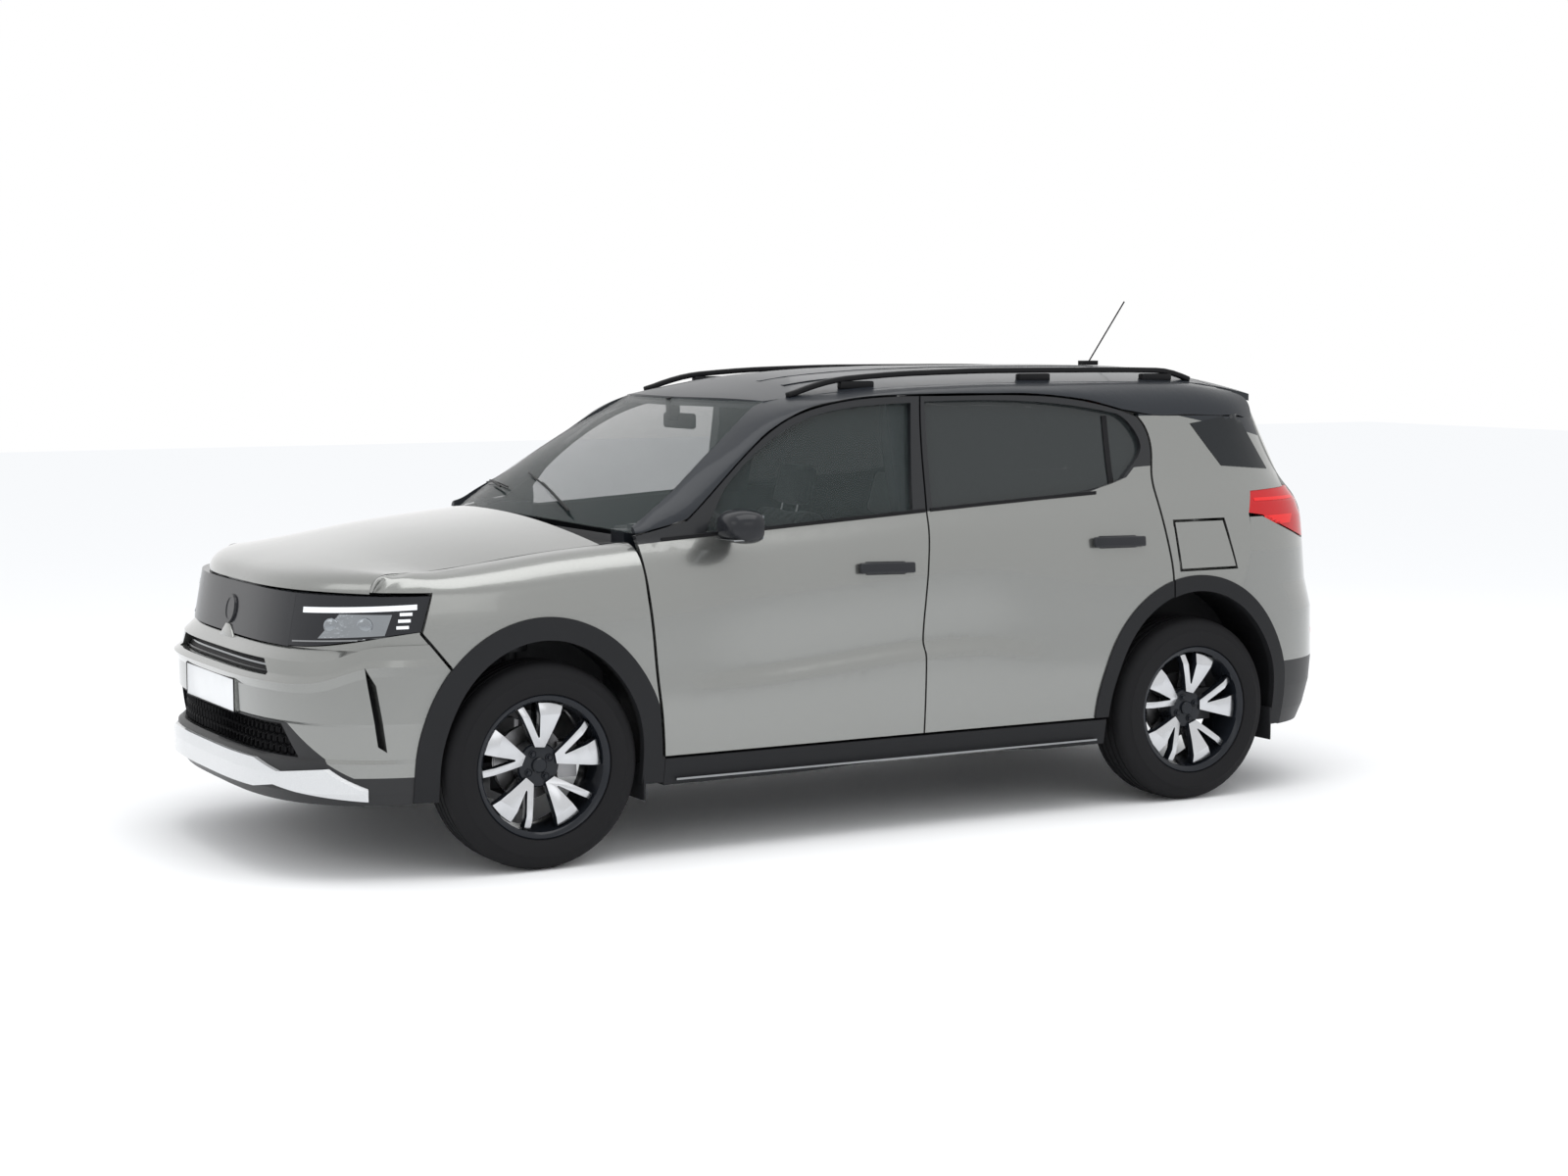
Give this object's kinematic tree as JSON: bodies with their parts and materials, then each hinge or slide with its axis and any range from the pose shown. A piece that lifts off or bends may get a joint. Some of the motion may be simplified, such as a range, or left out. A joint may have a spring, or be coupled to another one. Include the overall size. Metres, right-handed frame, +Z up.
{
  "type": "compact crossover",
  "caption": "Five-door compact crossover with hollow cabin, swinging doors, lifting tailgate and bonnet, steered front wheels and free-rolling wheels.",
  "frame": {"origin": "on the ground below the middle of the bounding box", "axes": "+X forward, +Y to the car's left, +Z up"},
  "size_m": [4.3819, 2.068, 1.8816],
  "materials": {
    "body_paint": "gloss metallic",
    "dark_paint": "gloss metallic",
    "cladding": "grained matte",
    "gloss_black": "gloss",
    "skid": "satin",
    "tinted_glass": "tinted",
    "clear_glass": "clear",
    "lamp": "clear lens over dark housing",
    "red_lamp": "red lens",
    "steel": "painted steel",
    "alloy": "machined and dark painted",
    "tyre": "rubber",
    "seat": "cloth",
    "trim": "soft touch"
  },
  "bodies": {
    "body": {"body_side_left": "body_paint", "body_side_right": "body_paint", "front_fender_left": "body_paint", "front_fender_right": "body_paint", "front_bumper": "body_paint", "rear_bumper": "body_paint", "roof_panel": "dark_paint", "grille_panel": "gloss_black", "headlamps": "lamp", "tail_lamps": "red_lamp", "lower_grille": "cladding", "cladding": "cladding", "wheel_arch_liners": "cladding", "cowl_panel": "cladding", "roof_rails": "cladding", "antenna": "cladding", "skid_plate": "skid", "windscreen": "clear_glass", "hinge_arms": "steel", "floor_pan": "steel", "front_subframe": "steel", "front_struts": "steel", "rear_axle": "steel", "exhaust": "steel", "engine_block": "steel", "front_seats": "seat", "rear_bench": "seat", "dashboard": "trim"},
    "front_door_left": {"front_door_left": "body_paint", "front_door_glass_left": "clear_glass", "door_mirror_left": "gloss_black"},
    "rear_door_left": {"rear_door_left": "body_paint", "rear_door_glass_left": "tinted_glass", "rear_door_cladding_left": "cladding"},
    "steered_hub_left": {"knuckle_left": "steel"},
    "wheel_front_left": {"tyre_front_left": "tyre", "rim_front_left": "alloy"},
    "wheel_rear_left": {"tyre_rear_left": "tyre", "rim_rear_left": "alloy"},
    "front_door_right": {"front_door_right": "body_paint", "front_door_glass_right": "clear_glass", "door_mirror_right": "gloss_black"},
    "rear_door_right": {"rear_door_right": "body_paint", "rear_door_glass_right": "tinted_glass", "rear_door_cladding_right": "cladding"},
    "steered_hub_right": {"knuckle_right": "steel"},
    "wheel_front_right": {"tyre_front_right": "tyre", "rim_front_right": "alloy"},
    "wheel_rear_right": {"tyre_rear_right": "tyre", "rim_rear_right": "alloy"},
    "tailgate": {"tailgate": "body_paint", "tailgate_glass": "tinted_glass", "tailgate_spoiler": "dark_paint"},
    "bonnet": {"bonnet": "body_paint"},
    "steering_wheel": {"steering_wheel": "trim"},
    "fuel_flap": {"fuel_flap": "body_paint"}
  },
  "joints": [
    {"name": "steer_left", "type": "hinge", "parent": "body", "child": "steered_hub_left", "pos_m": [1.3225, 0.7, 0.345], "axis": [0, 0, 1], "range_deg": [-35, 35]},
    {"name": "steer_right", "type": "hinge", "parent": "body", "child": "steered_hub_right", "pos_m": [1.3225, -0.7, 0.345], "axis": [0, 0, 1], "range_deg": [-35, 35]},
    {"name": "wheel_front_left_spin", "type": "hinge", "parent": "steered_hub_left", "child": "wheel_front_left", "pos_m": [1.3225, 0.775, 0.345], "axis": [0, 1, 0], "continuous": true},
    {"name": "wheel_front_right_spin", "type": "hinge", "parent": "steered_hub_right", "child": "wheel_front_right", "pos_m": [1.3225, -0.775, 0.345], "axis": [0, 1, 0], "continuous": true},
    {"name": "wheel_rear_left_spin", "type": "hinge", "parent": "body", "child": "wheel_rear_left", "pos_m": [-1.3475, 0.775, 0.345], "axis": [0, 1, 0], "continuous": true},
    {"name": "wheel_rear_right_spin", "type": "hinge", "parent": "body", "child": "wheel_rear_right", "pos_m": [-1.3475, -0.775, 0.345], "axis": [0, 1, 0], "continuous": true},
    {"name": "steering_wheel_turn", "type": "hinge", "parent": "body", "child": "steering_wheel", "pos_m": [0.395, 0.36, 0.965], "axis": [-0.9135, 0, 0.4067], "range_deg": [-540, 540]},
    {"name": "front_door_left_swing", "type": "hinge", "parent": "body", "child": "front_door_left", "pos_m": [0.8305, 0.855, 0.6], "axis": [0, 0, -1], "range_deg": [0, 70]},
    {"name": "rear_door_left_swing", "type": "hinge", "parent": "body", "child": "rear_door_left", "pos_m": [-0.2315, 0.855, 0.6], "axis": [0, 0, -1], "range_deg": [0, 70]},
    {"name": "front_door_right_swing", "type": "hinge", "parent": "body", "child": "front_door_right", "pos_m": [0.8305, -0.855, 0.6], "axis": [0, 0, 1], "range_deg": [0, 70]},
    {"name": "rear_door_right_swing", "type": "hinge", "parent": "body", "child": "rear_door_right", "pos_m": [-0.2315, -0.855, 0.6], "axis": [0, 0, 1], "range_deg": [0, 70]},
    {"name": "tailgate_lift", "type": "hinge", "parent": "body", "child": "tailgate", "pos_m": [-1.694, 0, 1.57721], "axis": [0, 1, 0], "range_deg": [0, 78]},
    {"name": "bonnet_lift", "type": "hinge", "parent": "body", "child": "bonnet", "pos_m": [1.045, 0, 1.04], "axis": [0, -1, 0], "range_deg": [0, 48]},
    {"name": "fuel_flap_swing", "type": "hinge", "parent": "body", "child": "fuel_flap", "pos_m": [-1.322, 0.852, 0.966], "axis": [0, 0, -1], "range_deg": [0, 85]}
  ],
  "couplings": [
    {"joint": "steer_right", "follows": "steer_left", "ratio": 1},
    {"joint": "steering_wheel_turn", "follows": "steer_left", "ratio": 15}
  ]
}
